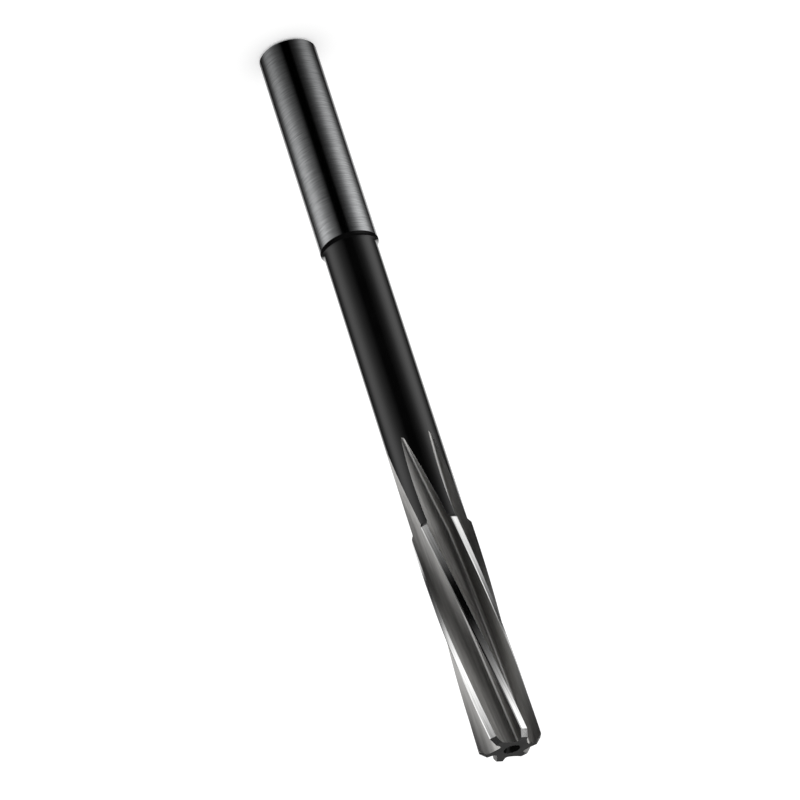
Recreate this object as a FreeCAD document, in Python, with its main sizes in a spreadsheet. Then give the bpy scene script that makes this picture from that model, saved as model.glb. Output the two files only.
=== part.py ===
"""Machine reamer with a cylindrical shank, ground from one bar of high-speed steel.

The reamer stands on its shank: +Z runs from the shank's end face up to the cutting end, and
the origin is the centre of that end face. Lengths are millimetres, angles are degrees.
"""

import FreeCAD, Part
import math
import os

import Sketcher

NODE = "machine_reamer"

# Driving dimensions. The flutes and the teeth are measured back from the cutting end.
SIZES = {
    "total_length": 133.0,
    "shank_diameter": 10.0,
    "shank_length": 39.9,
    "shank_end_chamfer": 0.5,
    "shoulder_length": 0.6,
    "shoulder_fillet": 1.2,
    "neck_diameter": 9.1,
    "cutting_diameter": 10.0,
    "cutting_length": 38.5,
    "back_chamfer_length": 0.7,
    "lead_chamfer": 1.0,
    "tooth_count": 6,
    "margin_width": 0.2,
    "flute_lead": 217.0,
    "core_radius": 2.57,
    "root_radius": 0.5,
    "floor_width": 0.8,
    "back_radius": 5.2,
    "heel_height": 3.9,
    "full_depth_length": 37.5,
    "run_out_length": 20.0,
    "run_out_radius": 260.0,
    "wheel_swivel": 10.0,
    "overtravel": 1.0,
    "centre_mouth": 2.65,
    "centre_pilot": 1.25,
    "centre_depth": 2.7,
}

# The flutes are cut in groups that take turns round the bar, each group evenly spaced.
FLUTE_GROUPS = 2

# How many steps the flute's sections take along its helix, and along its run-out.
HELIX_STEPS = 9
RUN_OUT_STEPS = 5


def add_sizes(doc):
    """Put the driving dimensions in a sheet, one named cell each."""
    sheet = doc.addObject("Spreadsheet::Sheet", "Sizes")
    for row, (alias, value) in enumerate(SIZES.items(), start=1):
        sheet.set(f"A{row}", alias)
        sheet.set(f"B{row}", str(value))
        sheet.setAlias(f"B{row}", alias)
    doc.recompute()


def origin_item(body, role):
    """Return the body's own origin plane or axis with this role."""
    return next(item for item in body.Origin.OriginFeatures if item.Role == role)


def add_sketch(body, name, role):
    """Start a sketch on one of the body's origin planes."""
    sketch = body.newObject("Sketcher::SketchObject", name)
    sketch.AttachmentSupport = [(origin_item(body, role), "")]
    sketch.MapMode = "FlatFace"
    return sketch


def line(start, end):
    """Return a straight edge, with the numbers of its first and last point."""
    return Part.LineSegment(FreeCAD.Vector(*start, 0), FreeCAD.Vector(*end, 0)), 1, 2


def clockwise_arc(centre, radius, start, end):
    """Return an arc run clockwise from one angle to another, with its point numbers."""
    circle = Part.Circle(FreeCAD.Vector(*centre, 0), FreeCAD.Vector(0, 0, 1), radius)
    return Part.ArcOfCircle(circle, math.radians(end), math.radians(start)), 2, 1


def draw_loop(sketch, edges, smooth=()):
    """Join each edge's last point to the next one's first point, tangent after smooth ones."""
    for edge, _, _ in edges:
        sketch.addGeometry(edge)
    for number, (_, _, last) in enumerate(edges):
        following = (number + 1) % len(edges)
        first = edges[following][1]
        kind = "Tangent" if number in smooth else "Coincident"
        sketch.addConstraint(Sketcher.Constraint(kind, number, last, following, first))


def dimension(sketch, name, kind, places, expression):
    """Add a named dimension at the size drawn, then bind it to the sheet."""
    if kind == "Radius":
        drawn = sketch.Geometry[places[0]].Radius
    else:
        place = sketch.getPoint(*places)
        drawn = place.x if kind == "DistanceX" else place.y
        places = (-1, 1, *places)
    number = sketch.addConstraint(Sketcher.Constraint(kind, *places, drawn))
    sketch.renameConstraint(number, name)
    sketch.setExpression(f"Constraints.{name}", expression)


def draw_turned_outline(sketch, corners):
    """Draw a closed outline whose corners are given as expressions for radius and height."""
    # The corners start spread round a half circle, and their dimensions put them in place
    count = len(corners)
    spread = [math.pi * number / (count - 1) for number in range(count)]
    rough = [(10 * math.sin(angle), 10 - 10 * math.cos(angle)) for angle in spread]
    draw_loop(sketch, [line(*pair) for pair in zip(rough, rough[1:] + rough[:1])])
    for number, (radius, height) in enumerate(corners):
        dimension(sketch, f"radius_{number}", "DistanceX", (number, 1), radius)
        dimension(sketch, f"height_{number}", "DistanceY", (number, 1), height)


def ring_edge(shape, radius, height):
    """Return the name of the circular edge with this radius at this height."""
    for number, edge in enumerate(shape.Edges, start=1):
        circle = edge.Curve
        if isinstance(circle, Part.Circle):
            if math.isclose(circle.Radius, radius) and math.isclose(circle.Center.z, height):
                return f"Edge{number}"
    raise RuntimeError(f"no edge of radius {radius} at height {height}")


def add_blank(body):
    """Turn the bar: shank, sloping shoulder, thinner neck, cutting part and lead chamfer."""
    shank = "0.5 * Sizes.shank_diameter"
    neck = "0.5 * Sizes.neck_diameter"
    full = "0.5 * Sizes.cutting_diameter"
    teeth = "Sizes.total_length - Sizes.cutting_length"
    corners = [
        ("0", "0"),
        (f"{shank} - Sizes.shank_end_chamfer", "0"),
        (shank, "Sizes.shank_end_chamfer"),
        (shank, "Sizes.shank_length"),
        (neck, "Sizes.shank_length + Sizes.shoulder_length"),
        (neck, f"{teeth} - Sizes.back_chamfer_length"),
        (full, teeth),
        (full, "Sizes.total_length - Sizes.lead_chamfer"),
        (f"{full} - Sizes.lead_chamfer", "Sizes.total_length"),
        ("0", "Sizes.total_length"),
    ]
    sketch = add_sketch(body, "blank_outline", "XZ_Plane")
    draw_turned_outline(sketch, corners)
    blank = body.newObject("PartDesign::Revolution", "blank")
    blank.Profile = sketch
    blank.ReferenceAxis = (sketch, ["V_Axis"])
    blank.Angle = 360
    body.Document.recompute()

    shoulder = body.newObject("PartDesign::Fillet", "shoulder_fillet")
    foot = SIZES["shank_length"] + SIZES["shoulder_length"]
    shoulder.Base = (blank, [ring_edge(blank.Shape, SIZES["neck_diameter"] / 2, foot)])
    shoulder.setExpression("Radius", "Sizes.shoulder_fillet")


def add_flute_section(body, name, group, helix_share, run_out_share):
    """Draw the grinding wheel's section at one place along the flute.

    The sketch turns with the tooth in front of the flute, whose radial cutting face is its X
    axis. Along the run-out the wheel no longer turns round the bar: it climbs out along an
    arc, and drifts sideways because it is swivelled to the helix.
    """
    core, root = SIZES["core_radius"], SIZES["root_radius"]
    floor, back, heel = SIZES["floor_width"], SIZES["back_radius"], SIZES["heel_height"]
    outside = SIZES["cutting_diameter"] / 2 + SIZES["overtravel"]
    bend = math.asin((heel - floor) / back)
    back_end = (core + back * (1 - math.cos(bend)), heel)
    edges = [
        line((outside, 0), (core + root, 0)),
        clockwise_arc((core + root, root), root, 270, 180),
        line((core, root), (core, floor)),
        clockwise_arc((core + back, floor), back, 180, 180 - math.degrees(bend)),
        line(back_end, (outside, heel)),
        line((outside, heel), (outside, 0)),
    ]
    sketch = add_sketch(body, name, "XY_Plane")
    draw_loop(sketch, edges, smooth=(0, 1, 2))
    for level in (0, 4):
        sketch.addConstraint(Sketcher.Constraint("Horizontal", level))
    for upright in (2, 5):
        sketch.addConstraint(Sketcher.Constraint("Vertical", upright))

    travel = f"{run_out_share} * Sizes.run_out_length"
    lift = f"(Sizes.run_out_radius - sqrt(Sizes.run_out_radius ^ 2 - ({travel}) ^ 2))"
    drift = f"{travel} * tan(Sizes.wheel_swivel * 1 deg)"
    side = f"0.5 * Sizes.cutting_diameter + Sizes.overtravel + {lift}"
    dimension(sketch, "root_radius", "Radius", (1,), "Sizes.root_radius")
    dimension(sketch, "back_radius", "Radius", (3,), "Sizes.back_radius")
    dimension(sketch, "core", "DistanceX", (2, 1), f"Sizes.core_radius + {lift}")
    dimension(sketch, "root", "DistanceY", (2, 1), f"Sizes.root_radius + {drift}")
    dimension(sketch, "floor", "DistanceY", (2, 2), f"Sizes.floor_width + {drift}")
    dimension(sketch, "heel", "DistanceY", (4, 1), f"Sizes.heel_height + {drift}")
    dimension(sketch, "side", "DistanceX", (5, 1), side)

    along = f"({helix_share} * (Sizes.full_depth_length + Sizes.overtravel) - Sizes.overtravel)"
    turn = f"{group} * 360 / Sizes.tooth_count + 360 * {along} / Sizes.flute_lead"
    sketch.setExpression("AttachmentOffset.Base.z", f"Sizes.total_length - {along} - {travel}")
    sketch.setExpression("AttachmentOffset.Rotation.Angle", turn)
    return sketch


def add_flutes(body, group):
    """Grind one left-hand helical flute with its run-out, and repeat it evenly round the bar."""
    sections = []
    for step in range(HELIX_STEPS + 1):
        name = f"helix_section_{group}_{step}"
        sections.append(add_flute_section(body, name, group, step / HELIX_STEPS, 0))
    for step in range(1, RUN_OUT_STEPS + 1):
        name = f"run_out_section_{group}_{step}"
        sections.append(add_flute_section(body, name, group, 1, step / RUN_OUT_STEPS))
    body.Document.recompute()
    flute = body.newObject("PartDesign::SubtractiveLoft", f"flute_{group}")
    flute.Profile = sections[0]
    flute.Sections = sections[1:]
    flute.Ruled = True
    body.Document.recompute()

    pattern = body.newObject("PartDesign::PolarPattern", f"flutes_{group}")
    pattern.Originals = [flute]
    pattern.Axis = (origin_item(body, "Z_Axis"), [""])
    pattern.Angle = 360
    pattern.setExpression("Occurrences", f"Sizes.tooth_count / {FLUTE_GROUPS}")
    body.Tip = pattern
    body.Document.recompute()


def add_centre_hole(body, name, face, inward):
    """Drill a 60 degree centre with its pilot into the end face at this height."""
    mouth = "0.5 * Sizes.centre_mouth"
    pilot = "0.5 * Sizes.centre_pilot"
    cone = f"({mouth} - {pilot}) / tan(30 deg)"
    point = f"{pilot} * tan(30 deg)"
    depth = "Sizes.centre_depth"
    corners = [
        ("0", face),
        (mouth, face),
        (pilot, f"{face} {inward} {cone}"),
        (pilot, f"{face} {inward} {depth}"),
        ("0", f"{face} {inward} ({depth} + {point})"),
    ]
    sketch = add_sketch(body, f"{name}_outline", "XZ_Plane")
    draw_turned_outline(sketch, corners)
    hole = body.newObject("PartDesign::Groove", name)
    hole.Profile = sketch
    hole.ReferenceAxis = (sketch, ["V_Axis"])
    hole.Angle = 360


def check(doc, body):
    """Stop if any object failed, or if a cut took off less than it should."""
    doc.recompute()
    for item in doc.Objects:
        if {"Invalid", "Error"} & set(item.State):
            raise RuntimeError(f"{item.Label}: {item.State}")
    if body.Shape.isNull() or not body.Shape.isValid() or len(body.Shape.Solids) != 1:
        raise RuntimeError(f"{body.Label} is not one valid solid")

    left = doc.getObject("shoulder_fillet").Shape.Volume
    for group in range(FLUTE_GROUPS):
        one = left - doc.getObject(f"flute_{group}").Shape.Volume
        every = left - doc.getObject(f"flutes_{group}").Shape.Volume
        if not math.isclose(every, one * SIZES["tooth_count"] / FLUTE_GROUPS, rel_tol=0.01):
            raise RuntimeError(f"flutes_{group} takes off {every}, one flute takes off {one}")
        left -= every
    for name in ("tip_centre", "shank_centre"):
        after = doc.getObject(name).Shape.Volume
        if after >= left:
            raise RuntimeError(f"{name} cuts nothing")
        left = after


def main():
    doc = FreeCAD.newDocument("Reamer")
    add_sizes(doc)
    body = doc.addObject("PartDesign::Body", "Reamer")
    body.Label = NODE
    body.Placement = FreeCAD.Placement()
    add_blank(body)
    for group in range(FLUTE_GROUPS):
        add_flutes(body, group)
    add_centre_hole(body, "tip_centre", "Sizes.total_length", "-")
    add_centre_hole(body, "shank_centre", "0", "+")
    check(doc, body)
    os.makedirs("parts", exist_ok=True)
    body.Shape.exportStep(f"parts/{NODE}.step")


main()
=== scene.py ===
"""A machine reamer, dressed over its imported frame: helical teeth, finishes and a plain studio."""

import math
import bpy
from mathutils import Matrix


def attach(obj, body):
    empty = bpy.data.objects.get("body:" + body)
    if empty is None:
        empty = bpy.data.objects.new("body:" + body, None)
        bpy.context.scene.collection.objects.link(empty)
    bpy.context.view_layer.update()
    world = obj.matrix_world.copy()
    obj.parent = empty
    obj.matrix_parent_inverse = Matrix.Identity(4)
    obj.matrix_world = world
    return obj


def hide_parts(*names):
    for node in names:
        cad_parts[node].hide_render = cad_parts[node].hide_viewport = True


bl_info = {
    "name": "Machine reamer",
    "version": (1, 0, 0),
    "blender": (4, 5, 0),
    "location": "3D View > Sidebar > Reamer",
    "description": "Builds a one-piece machine reamer with left-hand helical flutes",
    "category": "Add Mesh",
}

import bmesh
import bpy
from mathutils import Matrix, Vector
from mathutils.geometry import tessellate_polygon

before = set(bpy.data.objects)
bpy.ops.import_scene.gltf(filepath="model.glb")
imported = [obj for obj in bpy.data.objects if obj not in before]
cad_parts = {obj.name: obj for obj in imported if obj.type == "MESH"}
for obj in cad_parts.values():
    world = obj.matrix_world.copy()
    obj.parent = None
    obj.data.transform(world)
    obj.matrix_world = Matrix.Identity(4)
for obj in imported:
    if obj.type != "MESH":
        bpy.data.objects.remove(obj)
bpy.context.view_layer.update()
NODE = "machine_reamer"
MM = 0.001

# Which finish a face of the reamer has. The numbers are its material slots too.
SHANK, OXIDE, FLUTE, LAND, FACE = range(5)

# The share of a land's columns that its relief takes; the rest are on the margin
RELIEF_SHARE = 0.9

# How many columns the cutting face has in the mesh
CUTTING_FACE_STEPS = 8

# How high the floor card lies, just clear of the floor
CARD_HEIGHT = 0.3 * MM


# Properties

def linear(code):
    """Turn an sRGB hex colour into the linear one that shaders use."""
    channels = (int(code[place : place + 2], 16) / 255 for place in (1, 3, 5))
    return tuple(c / 12.92 if c <= 0.04045 else ((c + 0.055) / 1.055) ** 2.4 for c in channels)


def length(name, description, millimetres):
    """Describe a length, given in millimetres."""
    return bpy.props.FloatProperty(
        name=name, description=description, default=millimetres * MM, unit="LENGTH", precision=5
    )


def colour(name, description, code):
    """Describe a colour, given as sRGB hex."""
    return bpy.props.FloatVectorProperty(
        name=name, description=description, default=linear(code), subtype="COLOR", size=3
    )


class ReamerSizes(bpy.types.PropertyGroup):
    """Sizes of the reamer."""

    total_length: length("Total length", "From the shank's end face to the cutting end", 133.0)
    shank_diameter: length("Shank diameter", "Diameter of the cylindrical shank", 10.0)
    shank_length: length("Shank length", "Length of the shank at its full diameter", 39.9)
    shank_chamfer: length("Shank chamfer", "Chamfer on the shank's end", 0.5)
    shoulder_length: length("Shoulder length", "Length of the slope down to the neck", 0.6)
    shoulder_fillet: length("Shoulder fillet", "Radius where the slope meets the neck", 1.2)
    neck_diameter: length("Neck diameter", "Diameter of the thinner neck", 9.1)
    cutting_diameter: length("Cutting diameter", "Diameter over the teeth", 10.0)
    cutting_length: length("Cutting length", "Length of the teeth at their full diameter", 38.5)
    back_chamfer: length("Back chamfer", "Length of the slope behind the teeth", 0.7)
    lead_chamfer: length("Lead chamfer", "45 degree chamfer that does the cutting", 1.0)
    tooth_count: bpy.props.IntProperty(name="Teeth", description="Number of teeth", default=6, min=3)
    margin_width: length("Margin width", "Cylindrical strip behind each cutting edge", 0.2)
    heel_drop: length("Heel drop", "How far the land's relief falls at the heel", 0.092)
    flute_lead: length("Flute lead", "Length of one full turn of the left-hand helix", 217.0)
    core_radius: length("Core radius", "Distance from the axis to the flute's floor", 2.57)
    root_radius: length("Root radius", "Radius between the cutting face and the floor", 0.5)
    floor_width: length("Floor width", "Where the flute's back starts to curve", 0.8)
    back_radius: length("Back radius", "Radius of the flute's curved back", 5.2)
    heel_height: length("Heel height", "Where the curved back leaves the bar", 3.9)
    full_depth: length("Full depth", "Length of the flute before it runs out", 37.5)
    run_out_radius: length("Run-out radius", "Radius of the climb where the flute runs out", 260.0)
    wheel_swivel: bpy.props.FloatProperty(
        name="Wheel swivel",
        description="Sideways drift of the run-out",
        default=math.radians(10.0),
        subtype="ANGLE",
    )
    centre_mouth: length("Centre mouth", "Diameter of the centre hole's mouth", 2.65)
    centre_pilot: length("Centre pilot", "Diameter of the centre hole's pilot", 1.25)
    centre_depth: length("Centre depth", "Depth of the centre hole", 2.7)


class ReamerColours(bpy.types.PropertyGroup):
    """Colours of the reamer's finishes and of the stage."""

    shank_steel: colour("Shank steel", "Cylindrically ground high-speed steel", "#98999A")
    oxide: colour("Black oxide", "Steam-blackened surface left as turned", "#060606")
    end_face: colour("End face", "Turned end face, dulled by the blackening", "#3A3A3A")
    flute_steel: colour("Flute steel", "Wheel-ground steel in the flutes", "#C2C1BF")
    land_steel: colour("Land steel", "Finely ground steel on the lands", "#DCDCDB")
    floor: colour("Floor", "Plain pale floor", "#F4F4F4")


# Node and mesh helpers

def add_node(tree, kind, inputs=None, **settings):
    """Add a node with its settings, and fill or link its inputs by name or number."""
    node = tree.nodes.new(kind)
    for name, value in settings.items():
        setattr(node, name, value)
    for key, value in (inputs or {}).items():
        if isinstance(value, bpy.types.NodeSocket):
            tree.links.new(value, node.inputs[key])
        else:
            node.inputs[key].default_value = value
    return node


def new_material(name):
    """Start a material with an output and nothing else."""
    material = bpy.data.materials.new(name)
    material.use_nodes = True
    material.node_tree.nodes.clear()
    return material


def add_object(name, points, faces):
    """Make a mesh object at the origin from points and faces."""
    mesh = bpy.data.meshes.new(name)
    mesh.from_pydata(points, [], faces)
    mesh.update()
    item = bpy.data.objects.new(name, mesh)
    bpy.context.scene.collection.objects.link(item)
    return item


# Shape of the reamer

def blank_outline(size):
    """Return the turned bar's (radius, height) corners, from the cutting end to the shank end."""
    shank, neck, full = size.shank_diameter / 2, size.neck_diameter / 2, size.cutting_diameter / 2
    top = size.total_length
    teeth = top - size.cutting_length
    foot = size.shank_length + size.shoulder_length
    slope = math.atan2(shank - neck, size.shoulder_length)
    reach = size.shoulder_fillet * math.tan(slope / 2)
    centre = (neck + size.shoulder_fillet, foot + reach)
    outline = [
        (full - size.lead_chamfer, top),
        (full, top - size.lead_chamfer),
        (full, teeth),
        (neck, teeth - size.back_chamfer),
    ]
    for step in range(9):
        angle = slope * step / 8
        radius = centre[0] - size.shoulder_fillet * math.cos(angle)
        outline.append((radius, centre[1] - size.shoulder_fillet * math.sin(angle)))
    outline += [
        (shank, size.shank_length),
        (shank, size.shank_chamfer),
        (shank - size.shank_chamfer, 0.0),
    ]
    return outline


def radius_at(outline, height):
    """Return the turned bar's radius at a height."""
    for (upper_radius, upper), (lower_radius, lower) in zip(outline, outline[1:]):
        if lower <= height <= upper and upper > lower:
            share = (upper - height) / (upper - lower)
            return upper_radius + share * (lower_radius - upper_radius)
    raise ValueError(f"no radius at height {height}")


def flute_point(size, place, depth):
    """Return a point of the flute's section. place runs 0 to 4, from cutting face to heel.

    The section's X axis is the cutting face. depth is the distance from the cutting end.
    Past the full depth the wheel climbs along an arc and drifts sideways.
    """
    travel = max(0.0, depth - size.full_depth)
    lift = size.run_out_radius - math.sqrt(size.run_out_radius**2 - travel**2)
    drift = travel * math.tan(size.wheel_swivel)
    core, root = size.core_radius + lift, size.root_radius
    if place <= 1:
        outside = size.cutting_diameter * 0.6 + lift
        return outside + place * (core + root - outside), drift
    if place <= 2:
        angle = math.radians(270 - 90 * (place - 1))
        return core + root + root * math.cos(angle), drift + root + root * math.sin(angle)
    if place <= 3:
        return core, drift + root + (place - 2) * (size.floor_width - root)
    bend = math.asin((size.heel_height - size.floor_width) / size.back_radius) * (place - 3)
    back = size.back_radius
    return core + back * (1 - math.cos(bend)), drift + size.floor_width + back * math.sin(bend)


def crossing(inside, outside, test):
    """Return the place between two others where the test turns from true to false."""
    for _ in range(40):
        middle = (inside + outside) / 2
        if test(middle):
            inside = middle
        else:
            outside = middle
    return inside


def land_radius(size, behind, radius, relieved):
    """Return a land's radius at an angle behind its cutting edge, on a bar of this radius."""
    full = size.cutting_diameter / 2
    low = full - size.heel_drop
    margin = size.margin_width / full
    if not relieved or behind <= margin:
        return radius
    heel = margin + math.acos(low / full)
    return min(radius, low / math.cos(heel - behind))


def tooth_ring(size, outline, height, steps, relieved):
    """Return one tooth's points at a height: its flute, then the land up to the next flute."""
    radius = radius_at(outline, height)
    pitch = math.tau / size.tooth_count
    depth = size.total_length - height
    places = [place / 40 for place in range(161)]
    deepest = min(places, key=lambda place: math.hypot(*flute_point(size, place, depth)))

    def under_edge(place):
        return math.hypot(*flute_point(size, place, depth)) < radius

    first = crossing(deepest, 0.0, under_edge)
    x, y = flute_point(size, first, depth)
    edge = math.atan2(y, x)

    def under_land(place):
        x, y = flute_point(size, place, depth)
        behind = edge + pitch - math.atan2(y, x)
        return math.hypot(x, y) < land_radius(size, behind, radius, relieved)

    last = crossing(deepest, 4.0, under_land)
    ring = []
    for place in steps["flute"]:
        x, y = flute_point(size, min(max(place, first), last), depth)
        ring.append((x, y, height))
    heel = edge + pitch - math.atan2(ring[-1][1], ring[-1][0])
    margin = size.margin_width / (size.cutting_diameter / 2)
    for share in steps["land"][1:]:
        behind = heel * (1 - share)
        if relieved and share < RELIEF_SHARE:
            behind = margin + (heel - margin) * (1 - share / RELIEF_SHARE)
        elif relieved:
            behind = margin * (1 - share) / (1 - RELIEF_SHARE)
        reach = land_radius(size, behind, radius, relieved)
        angle = edge + pitch - behind
        ring.append((reach * math.cos(angle), reach * math.sin(angle), height))
    return ring


def plain_ring(size, start, radius, height, count):
    """Return a plain arc one tooth pitch long, from a start angle."""
    pitch = math.tau / size.tooth_count
    angles = [start + pitch * step / count for step in range(count + 1)]
    return [(radius * math.cos(angle), radius * math.sin(angle), height) for angle in angles]


def spread(start, end, step):
    """Return evenly spaced values from start to end, about a step apart, both included."""
    count = max(1, round(abs(end - start) / step))
    return [start + (end - start) * number / count for number in range(count + 1)]


def flute_end(size):
    """Return the height where the flute's run-out leaves the neck."""
    neck = size.neck_diameter / 2
    places = [place / 40 for place in range(161)]

    def cuts(depth):
        return min(math.hypot(*flute_point(size, place, depth)) for place in places) < neck

    return size.total_length - crossing(size.full_depth, size.full_depth + 40 * MM, cuts)


def centre_rings(size, start, face, inward, count):
    """Return the rings of a centre hole from its mouth in an end face down to its point."""
    mouth, pilot = size.centre_mouth / 2, size.centre_pilot / 2
    cone = (mouth - pilot) / math.tan(math.radians(30))
    point = pilot * math.tan(math.radians(30))
    corners = [(mouth, 0.0), (pilot, cone), (pilot, size.centre_depth), (0.0, size.centre_depth + point)]
    return [plain_ring(size, start, radius, face + inward * depth, count) for radius, depth in corners]


def tooth_sector(size):
    """Return the points, faces and finishes of one tooth's share of the whole reamer."""
    outline = blank_outline(size)
    flute = [place / CUTTING_FACE_STEPS for place in range(CUTTING_FACE_STEPS)]
    flute += [1 + place / 14 for place in range(14)]
    flute += [2.0, 2.5] + [3 + place / 18 for place in range(19)]
    steps = {"flute": flute, "land": [place / 20 for place in range(21)]}
    land_count, flute_count = 20, len(flute) - 1
    top, teeth = size.total_length, size.total_length - size.cutting_length
    end = flute_end(size)
    points, faces, finishes = [], [], []

    def add_ring(ring):
        points.extend(ring)
        return list(range(len(points) - len(ring), len(points)))

    def join(upper, lower, finish):
        for number in range(len(upper) - 1):
            faces.append((upper[number], lower[number], lower[number + 1], upper[number + 1]))
            finishes.append(finish(number) if callable(finish) else finish)

    heights = spread(top, top - size.lead_chamfer, 0.2 * MM)
    heights += spread(top - size.lead_chamfer, teeth, 0.5 * MM)[1:]
    rings = [add_ring(tooth_ring(size, outline, height, steps, True)) for height in heights]
    for height in spread(teeth, teeth - size.back_chamfer, 0.35 * MM)[1:]:
        relieved = height > teeth - size.back_chamfer / 2
        rings.append(add_ring(tooth_ring(size, outline, height, steps, relieved)))
    for height in spread(teeth - size.back_chamfer, end, 0.3 * MM)[1:-1]:
        rings.append(add_ring(tooth_ring(size, outline, height, steps, False)))

    # The flute ends in a point, and below it the bar is plain, in the same columns as the land
    x, y, _ = points[rings[-1][flute_count // 2]]
    start = math.atan2(y, x)
    last = plain_ring(size, start, size.neck_diameter / 2, end, land_count)
    rings.append(add_ring([last[0]] * flute_count + last))
    for number, (upper, lower) in enumerate(zip(rings, rings[1:])):
        land = LAND if number < len(heights) - 1 else OXIDE
        join(upper, lower, lambda place: FLUTE if place < flute_count else land)

    upper = rings[-1][flute_count:]
    for radius, height in [(radius, height) for radius, height in outline if height < end]:
        lower = add_ring(plain_ring(size, start, radius, height, land_count))
        join(upper, lower, OXIDE if height >= size.shank_length - 1e-7 else SHANK)
        upper = lower
    for ring in centre_rings(size, start, 0.0, 1, land_count):
        lower = add_ring(ring)
        join(upper, lower, SHANK)
        upper = lower

    # The cutting end's face runs from the centre hole's mouth out to the tooth
    mouth, *hole = [add_ring(ring) for ring in centre_rings(size, 0.0, top, -1, land_count)]
    for upper, lower in zip([mouth] + hole, hole):
        join(lower, upper, OXIDE)
    tip = rings[0]
    pitch = Matrix.Rotation(math.tau / size.tooth_count, 3, "Z")
    cutting_face = [Vector(points[number]) for number in tip[1 : CUTTING_FACE_STEPS + 1]]
    next_face = add_ring([tuple(pitch @ point) for point in cutting_face])
    loop = tip[CUTTING_FACE_STEPS:] + next_face + mouth[::-1]
    for triangle in tessellate_polygon([[Vector(points[place]) for place in loop]]):
        corners = [loop[number] for number in triangle]
        a, b, c = (Vector(points[place]) for place in corners)
        if (b - a).cross(c - a).z < 0:
            corners.reverse()
        faces.append(tuple(corners))
        finishes.append(FACE)
    return points, faces, finishes


def tooth_repeater(size, materials):
    """Build the nodes that twist one tooth's sector along the helix and repeat it round the bar."""
    tree = bpy.data.node_groups.new("Tooth repeater", "GeometryNodeTree")
    face = tree.interface
    face.new_socket("Geometry", in_out="INPUT", socket_type="NodeSocketGeometry")
    count = face.new_socket("Teeth", in_out="INPUT", socket_type="NodeSocketInt")
    lead = face.new_socket("Flute lead", in_out="INPUT", socket_type="NodeSocketFloat")
    depth = face.new_socket("Full depth", in_out="INPUT", socket_type="NodeSocketFloat")
    tip = face.new_socket("Tip height", in_out="INPUT", socket_type="NodeSocketFloat")
    face.new_socket("Geometry", in_out="OUTPUT", socket_type="NodeSocketGeometry")
    given = add_node(tree, "NodeGroupInput").outputs

    # Turn each point by its distance from the tip, as far as the flute keeps its full depth
    place = add_node(tree, "GeometryNodeInputPosition").outputs[0]
    height = add_node(tree, "ShaderNodeSeparateXYZ", {0: place}).outputs["Z"]
    below = add_node(tree, "ShaderNodeMath", {0: given["Tip height"], 1: height}, operation="SUBTRACT")
    along = add_node(
        tree, "ShaderNodeMath", {0: below.outputs[0], 1: given["Full depth"]}, operation="MINIMUM"
    )
    turns = add_node(
        tree, "ShaderNodeMath", {0: along.outputs[0], 1: given["Flute lead"]}, operation="DIVIDE"
    )
    angle = add_node(tree, "ShaderNodeMath", {0: turns.outputs[0], 1: math.tau}, operation="MULTIPLY")
    turned = add_node(
        tree,
        "ShaderNodeVectorRotate",
        {"Vector": place, "Angle": angle.outputs[0]},
        rotation_type="Z_AXIS",
    )
    twisted = add_node(
        tree, "GeometryNodeSetPosition", {"Geometry": given["Geometry"], "Position": turned.outputs[0]}
    )

    # One copy of the sector for each tooth
    points = add_node(tree, "GeometryNodePoints", {"Count": given["Teeth"]})
    number = add_node(tree, "GeometryNodeInputIndex").outputs[0]
    pitch = add_node(tree, "ShaderNodeMath", {0: math.tau, 1: given["Teeth"]}, operation="DIVIDE")
    about = add_node(tree, "ShaderNodeMath", {0: number, 1: pitch.outputs[0]}, operation="MULTIPLY")
    facing = add_node(tree, "ShaderNodeCombineXYZ", {"Z": about.outputs[0]})
    copies = add_node(
        tree,
        "GeometryNodeInstanceOnPoints",
        {"Points": points.outputs[0], "Instance": twisted.outputs[0], "Rotation": facing.outputs[0]},
    )
    real = add_node(tree, "GeometryNodeRealizeInstances", {"Geometry": copies.outputs[0]})
    merged = add_node(
        tree, "GeometryNodeMergeByDistance", {"Geometry": real.outputs[0], "Distance": 2e-6}
    )
    result = merged.outputs[0]
    finish = add_node(
        tree, "GeometryNodeInputNamedAttribute", {"Name": "finish"}, data_type="INT"
    ).outputs[0]
    for slot, material in enumerate(materials):
        chosen = add_node(
            tree, "FunctionNodeCompare", {2: finish, 3: slot}, data_type="INT", operation="EQUAL"
        )
        result = add_node(
            tree,
            "GeometryNodeSetMaterial",
            {"Geometry": result, "Selection": chosen.outputs[0], "Material": material},
        ).outputs[0]
    add_node(tree, "NodeGroupOutput", {0: result})
    values = {
        count.identifier: size.tooth_count,
        lead.identifier: size.flute_lead,
        depth.identifier: size.full_depth,
        tip.identifier: size.total_length,
    }
    return tree, values


# Finishes

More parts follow.
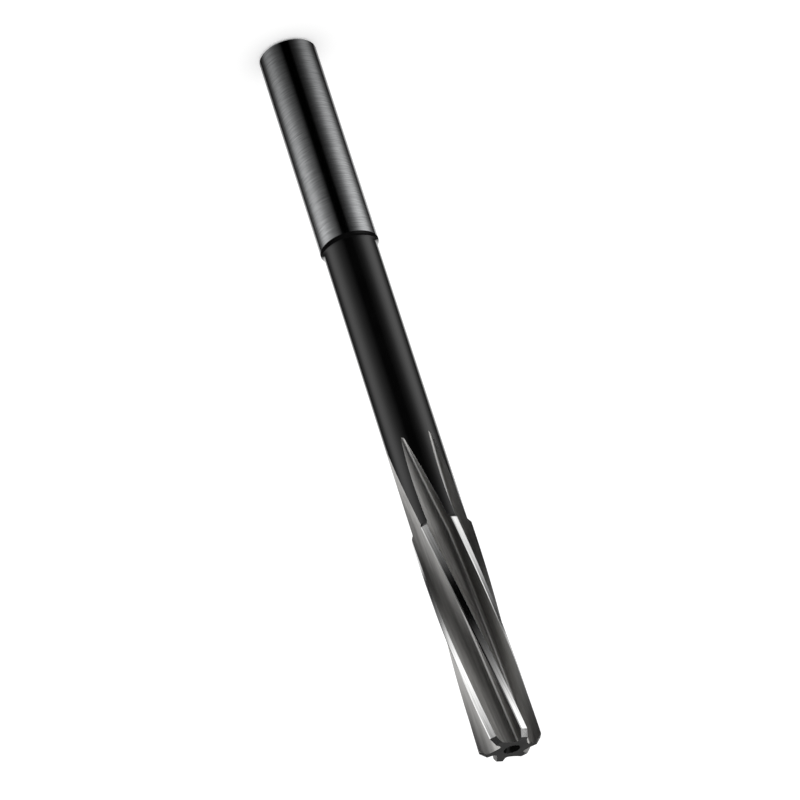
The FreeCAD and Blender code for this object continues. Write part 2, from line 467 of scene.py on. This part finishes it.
def ground_steel(name, tint, roughness, stretch, depth, helix=None, smear=0.0):
    """Ground steel: a mirror broken by fine parallel scratches, which smear its reflections.

    stretch is how many scratches fit in 3 mm along each axis. With a helix, given as its lead
    and the tip's height, they follow the flutes.
    """
    material = new_material(name)
    tree = material.node_tree
    place = add_node(tree, "ShaderNodeTexCoord").outputs["Object"]
    if helix:
        lead, tip = helix
        height = add_node(tree, "ShaderNodeSeparateXYZ", {0: place}).outputs["Z"]
        below = add_node(tree, "ShaderNodeMath", {0: tip, 1: height}, operation="SUBTRACT")
        angle = add_node(
            tree, "ShaderNodeMath", {0: below.outputs[0], 1: -math.tau / lead}, operation="MULTIPLY"
        )
        place = add_node(
            tree,
            "ShaderNodeVectorRotate",
            {"Vector": place, "Angle": angle.outputs[0]},
            rotation_type="Z_AXIS",
        ).outputs[0]
    along = add_node(tree, "ShaderNodeMapping", {"Vector": place, "Scale": stretch})
    scratches = add_node(
        tree,
        "ShaderNodeTexNoise",
        {"Vector": along.outputs[0], "Scale": 1 / (3 * MM), "Detail": 4.0, "Roughness": 0.6},
    )
    worn = add_node(
        tree,
        "ShaderNodeMapRange",
        {"Value": scratches.outputs[0], "To Min": roughness * 0.8, "To Max": roughness * 1.25},
    )
    shade = add_node(
        tree,
        "ShaderNodeMapRange",
        {"Value": scratches.outputs[0], "From Min": 0.35, "From Max": 0.65, "To Min": 0.68, "To Max": 1.0},
    )
    toned = add_node(
        tree,
        "ShaderNodeMix",
        {0: 1.0, 6: (*tint, 1), 7: shade.outputs[0]},
        data_type="RGBA",
        blend_type="MULTIPLY",
    )
    bump = add_node(
        tree, "ShaderNodeBump", {"Height": scratches.outputs[0], "Distance": depth, "Strength": 0.5}
    )
    round_bar = add_node(tree, "ShaderNodeTangent", direction_type="RADIAL", axis="Z").outputs[0]
    steel = add_node(
        tree,
        "ShaderNodeBsdfPrincipled",
        {
            "Base Color": toned.outputs[2],
            "Metallic": 1.0,
            "Roughness": worn.outputs[0],
            "Anisotropic": smear,
            "Normal": bump.outputs[0],
            "Tangent": round_bar,
        },
    )
    add_node(tree, "ShaderNodeOutputMaterial", {"Surface": steel.outputs[0]})
    return material


def black_oxide(name, tint):
    """Steam-blackened steel: a thin dark glaze over turned metal, with soft weak reflections."""
    material = new_material(name)
    tree = material.node_tree
    place = add_node(tree, "ShaderNodeTexCoord").outputs["Object"]
    cloud = add_node(
        tree, "ShaderNodeTexNoise", {"Vector": place, "Scale": 1 / (3 * MM), "Detail": 5.0}
    )
    turned = add_node(tree, "ShaderNodeMapping", {"Vector": place, "Scale": (1, 1, 30)})
    marks = add_node(
        tree, "ShaderNodeTexNoise", {"Vector": turned.outputs[0], "Scale": 1 / (2 * MM), "Detail": 3.0}
    )
    tone = add_node(
        tree,
        "ShaderNodeMapRange",
        {"Value": cloud.outputs[0], "From Min": 0.3, "From Max": 0.7, "To Min": 0.8, "To Max": 1.2},
    )
    toned = add_node(
        tree,
        "ShaderNodeMix",
        {0: 1.0, 6: (*tint, 1), 7: tone.outputs[0]},
        data_type="RGBA",
        blend_type="MULTIPLY",
    )
    sheen = add_node(
        tree, "ShaderNodeMapRange", {"Value": cloud.outputs[0], "To Min": 0.1, "To Max": 0.17}
    )
    bump = add_node(
        tree, "ShaderNodeBump", {"Height": marks.outputs[0], "Distance": 0.002 * MM, "Strength": 0.4}
    )
    glaze = add_node(
        tree,
        "ShaderNodeBsdfPrincipled",
        {
            "Base Color": toned.outputs[2],
            "Roughness": sheen.outputs[0],
            "IOR": 1.43,
            "Normal": bump.outputs[0],
        },
    )
    add_node(tree, "ShaderNodeOutputMaterial", {"Surface": glaze.outputs[0]})
    return material


# Stage

def seen_directly(tree):
    """Return a factor that is 1 where a camera, reflected or transmitted ray meets the surface."""
    path = add_node(tree, "ShaderNodeLightPath").outputs
    either = add_node(
        tree, "ShaderNodeMath", {0: path["Is Camera Ray"], 1: path["Is Glossy Ray"]}, operation="MAXIMUM"
    )
    return add_node(
        tree,
        "ShaderNodeMath",
        {0: either.outputs[0], 1: path["Is Transmission Ray"]},
        operation="MAXIMUM",
    ).outputs[0]


def pale_floor(tint):
    """Plain matt floor, lifted to white where it is seen."""
    material = new_material("Matt studio floor")
    tree = material.node_tree
    seen = seen_directly(tree)
    matt = add_node(tree, "ShaderNodeBsdfDiffuse", {"Color": (*tint, 1)})
    lift = add_node(tree, "ShaderNodeMath", {0: seen, 1: 0.32}, operation="MULTIPLY")
    glow = add_node(tree, "ShaderNodeEmission", {"Strength": lift.outputs[0]})
    both = add_node(tree, "ShaderNodeAddShader", {0: matt.outputs[0], 1: glow.outputs[0]})
    add_node(tree, "ShaderNodeOutputMaterial", {"Surface": both.outputs[0]})
    return material


def painted_reflection_card():
    """Painted reflection: a card that glows from black to white across its width, as its glow attribute
    says, and paints the bands that the steel reflects.
    """
    material = new_material("Graded painted reflection")
    tree = material.node_tree
    shade = add_node(tree, "ShaderNodeAttribute", attribute_name="glow")
    glow = add_node(tree, "ShaderNodeEmission", {"Strength": shade.outputs["Fac"]})
    add_node(tree, "ShaderNodeOutputMaterial", {"Surface": glow.outputs[0]})
    return material


# How bright the floor card's painted reflection is, by the angle away from the camera's side: left is
# negative
PAINTED_REFLECTION_SHADES = (
    (-180, 1.0),
    (-148, 1.0),
    (-142, 0.04),
    (-131, 0.04),
    (-114, 0.32),
    (-101, 1.0),
    (-89, 1.45),
    (-78, 1.5),
    (-68, 1.3),
    (-59, 0.98),
    (-50, 0.70),
    (-41, 0.46),
    (-24, 0.19),
    (-16, 0.07),
    (-9, 0.0),
    (17, 0.0),
    (24, 0.06),
    (33, 0.12),
    (41, 0.24),
    (50, 0.45),
    (59, 0.85),
    (68, 1.32),
    (78, 1.62),
    (89, 1.65),
    (101, 1.2),
    (114, 0.45),
    (131, 0.05),
    (142, 0.04),
    (148, 1.0),
    (180, 1.0),
)


def painted_reflection_shade(angle):
    """Return how bright the painted reflection card is at an angle in degrees from the camera's side."""
    for (before, low), (after, high) in zip(PAINTED_REFLECTION_SHADES, PAINTED_REFLECTION_SHADES[1:]):
        if before <= angle <= after:
            return low + (high - low) * (angle - before) / (after - before)
    raise ValueError(f"no shade at {angle} degrees")


def add_painted_reflection(name, points, faces, shades):
    """Hang a card that glows as its points' shades say and shows only in glossy reflections: a painted
    reflection, with no lamp behind it.
    """
    card = add_object(name, points, faces)
    glow = card.data.attributes.new("glow", "FLOAT", "POINT")
    glow.data.foreach_set("value", shades)
    card.data.materials.append(painted_reflection_card())
    # Hidden from the camera, diffuse light and shadows, so the card only paints reflections on the steel
    card.visible_camera = False
    card.visible_diffuse = False
    card.visible_shadow = False
    card.visible_transmission = False
    return card


def add_floor_reflection_card(facing, radius):
    """Lay a graded card on the floor round the reamer's foot, a painted reflection for the steel, darker
    close to the foot.
    """
    points, faces, shades = [], [], []
    count = 120
    # Each reach in metres from the foot, with the card's painted reflection level in front of and behind
    # the foot
    reaches = (
        (0.0, 0.4, 0.4),
        (0.03, 0.72, 0.72),
        (0.065, 1.0, 1.0),
        (0.165, 1.0, 1.0),
        (0.19, 0.85, 1.0),
        (0.215, 0.75, 1.0),
        (0.25, 1.2, 1.0),
        (0.32, 1.2, 0.1),
        (1.2, 1.2, 0.1),
    )
    for step in range(count + 1):
        away = -180 + 360 * step / count
        foot, direction = facing + math.radians(away / 2), facing + math.radians(away)
        near = Vector((math.cos(foot), math.sin(foot), 0)) * radius
        out = Vector((math.cos(direction), math.sin(direction), 0))
        for reach, front, behind in reaches:
            points.append(tuple(near + out * reach + Vector((0, 0, CARD_HEIGHT))))
            shades.append(painted_reflection_shade(-away) * (front if abs(away) < 140 else behind))
    rows = len(reaches)
    for first in range(0, rows * count, rows):
        for place in range(first, first + rows - 1):
            faces.append((place, place + 1, place + rows + 1, place + rows))
    return add_painted_reflection("painted_floor_reflection", points, faces, shades)


def add_overhead_reflection_card(facing, radius):
    """Hang a dark canopy over the stage, seen only in reflections: a painted reflection, with one soft
    light patch high on the right that paints a highlight.
    """
    points, faces, shades = [], [], []
    around, over = 48, 12
    painted_highlight_patch = Vector((math.cos(facing - 1.38) * 0.67, math.sin(facing - 1.38) * 0.67, 0.74))
    for row in range(over + 1):
        height = math.radians(90) * row / over
        for column in range(around):
            angle = math.tau * column / around
            level = math.cos(height)
            out = Vector((level * math.cos(angle), level * math.sin(angle), math.sin(height)))
            points.append(tuple(out * radius))
            near = max(0.0, 1 - out.angle(painted_highlight_patch) / math.radians(35))
            # Painted reflection: dark all over, brighter towards the painted highlight patch
            shades.append(0.05 + 0.75 * near)
    for row in range(over):
        for column in range(around):
            first, second = row * around + column, row * around + (column + 1) % around
            faces.append((first, second, second + around, first + around))
    return add_painted_reflection("painted_overhead_reflection", points, faces, shades)


def aim(azimuth, elevation, roll):
    """Return a camera's turn, looking back along a direction and rolled about it."""
    back = Vector(
        (
            math.cos(elevation) * math.cos(azimuth),
            math.cos(elevation) * math.sin(azimuth),
            math.sin(elevation),
        )
    )
    side = Vector((0, 0, 1)).cross(back).normalized()
    over = back.cross(side)
    right = side * math.cos(roll) + over * math.sin(roll)
    up = back.cross(right)
    return Matrix((right, up, back)).transposed(), back


# Operators

class REAMER_OT_tool(bpy.types.Operator):
    """Grind the reamer: one tooth's sector, twisted along the helix and repeated round the bar"""

    bl_idname = "reamer.tool"
    bl_label = "Reamer"

    def execute(self, context):
        size, tint = context.scene.reamer_sizes, context.scene.reamer_colours
        # Grinding marks are too fine to see singly, so they are drawn coarser: rings 0.15 mm
        # apart round the shank, and streaks along the helix, 0.5 mm apart in the flutes and
        # 0.2 mm on the lands. The flutes come rougher off the wheel, so they shine least.
        helix = (size.flute_lead, size.total_length)
        rings, flute_marks, land_marks = (1, 1, 20), (6, 6, 0.2), (14, 14, 0.5)
        shank, flute, land = tint.shank_steel, tint.flute_steel, tint.land_steel
        materials = [
            ground_steel("Cylindrically ground steel", shank, 0.14, rings, 0.0004 * MM),
            black_oxide("Steam-blackened steel", tint.oxide),
            ground_steel("Wheel-ground flute steel", flute, 0.34, flute_marks, 0.0006 * MM, helix, 0.7),
            ground_steel("Finely ground land steel", land, 0.14, land_marks, 0.0002 * MM, helix, 0.4),
            black_oxide("Blackened end face", tint.end_face),
        ]
        points, faces, finishes = tooth_sector(size)
        item = add_object("reamer", points, faces)
        finish = item.data.attributes.new("finish", "INT", "FACE")
        finish.data.foreach_set("value", finishes)
        tree, values = tooth_repeater(size, materials)
        repeater = item.modifiers.new("Teeth", "NODES")
        repeater.node_group = tree
        for identifier, value in values.items():
            repeater[identifier] = value
        graph = context.evaluated_depsgraph_get()
        mesh = bpy.data.meshes.new_from_object(item.evaluated_get(graph))
        item.modifiers.clear()
        sector = item.data
        item.data = mesh
        bpy.data.meshes.remove(sector)
        mesh.name = "reamer"
        finish_mesh(mesh)
        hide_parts(NODE)
        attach(item, "root")
        return {"FINISHED"}


def finish_mesh(mesh):
    """Turn every face outward, and shade the mesh smooth except over its real edges."""
    shape = bmesh.new()
    shape.from_mesh(mesh)
    bmesh.ops.recalc_face_normals(shape, faces=shape.faces)
    open_edges = [edge for edge in shape.edges if len(edge.link_faces) != 2]
    if open_edges:
        raise RuntimeError(f"the reamer's mesh has {len(open_edges)} open edges")
    shape.to_mesh(mesh)
    shape.free()
    mesh.shade_smooth()
    mesh.set_sharp_from_angle(angle=math.radians(9))


class REAMER_OT_stage(bpy.types.Operator):
    """Set the plain studio: a pale floor, soft light all round, glowing cards that paint the steel's
    reflections, and the camera
    """

    bl_idname = "reamer.stage"
    bl_label = "Stage"

    def execute(self, context):
        scene = context.scene
        size, tint = scene.reamer_sizes, scene.reamer_colours
        scene.view_settings.view_transform = "Standard"

        floor = add_object("floor", [(-4, -4, 0), (4, -4, 0), (4, 4, 0), (-4, 4, 0)], [(0, 1, 2, 3)])
        floor.data.materials.append(pale_floor(tint.floor))

        azimuth, elevation = math.radians(88.52), math.radians(27.74)
        # Glowing cards seen only in reflections paint the light and dark bands on the steel
        card = add_floor_reflection_card(azimuth, size.shank_diameter / 2)
        painted_canopy_reflection = add_overhead_reflection_card(azimuth, 1.5)

        world = bpy.data.worlds.new("Soft white studio")
        world.use_nodes = True
        tree = world.node_tree
        tree.nodes.clear()
        seen = seen_directly(tree)
        level = add_node(
            tree, "ShaderNodeMapRange", {"Value": seen, "To Min": 0.92, "To Max": 1.0}
        )
        sky = add_node(tree, "ShaderNodeBackground", {"Color": (1, 1, 1, 1), "Strength": level.outputs[0]})
        add_node(tree, "ShaderNodeOutputWorld", {"Surface": sky.outputs[0]})
        scene.world = world

        turn, back = aim(azimuth, elevation, math.radians(162.06))
        lens = bpy.data.cameras.new("camera")
        lens.sensor_width = 36.0
        lens.lens = 159.75
        camera = bpy.data.objects.new("camera", lens)
        scene.collection.objects.link(camera)
        target = Vector((0.00013, -0.00135, 0.06906))
        camera.matrix_world = Matrix.Translation(target + back * 0.5725) @ turn.to_4x4()
        scene.camera = camera
        return {"FINISHED"}


class REAMER_PT_panel(bpy.types.Panel):
    """Lists the reamer's operators, sizes and colours"""

    bl_label = "Reamer"
    bl_idname = "REAMER_PT_panel"
    bl_space_type = "VIEW_3D"
    bl_region_type = "UI"
    bl_category = "Reamer"

    def draw(self, context):
        for operator in (REAMER_OT_tool, REAMER_OT_stage):
            self.layout.operator(operator.bl_idname)
        for group in (context.scene.reamer_sizes, context.scene.reamer_colours):
            for name in group.__annotations__:
                self.layout.prop(group, name)


CLASSES = (ReamerSizes, ReamerColours, REAMER_OT_tool, REAMER_OT_stage, REAMER_PT_panel)


def register():
    for item in CLASSES:
        bpy.utils.register_class(item)
    bpy.types.Scene.reamer_sizes = bpy.props.PointerProperty(type=ReamerSizes)
    bpy.types.Scene.reamer_colours = bpy.props.PointerProperty(type=ReamerColours)


def unregister():
    del bpy.types.Scene.reamer_colours
    del bpy.types.Scene.reamer_sizes
    for item in reversed(CLASSES):
        bpy.utils.unregister_class(item)


def main():
    """Register the add-on and build everything."""
    register()
    bpy.ops.reamer.tool()
    bpy.ops.reamer.stage()


if __name__ == "__main__":
    main()
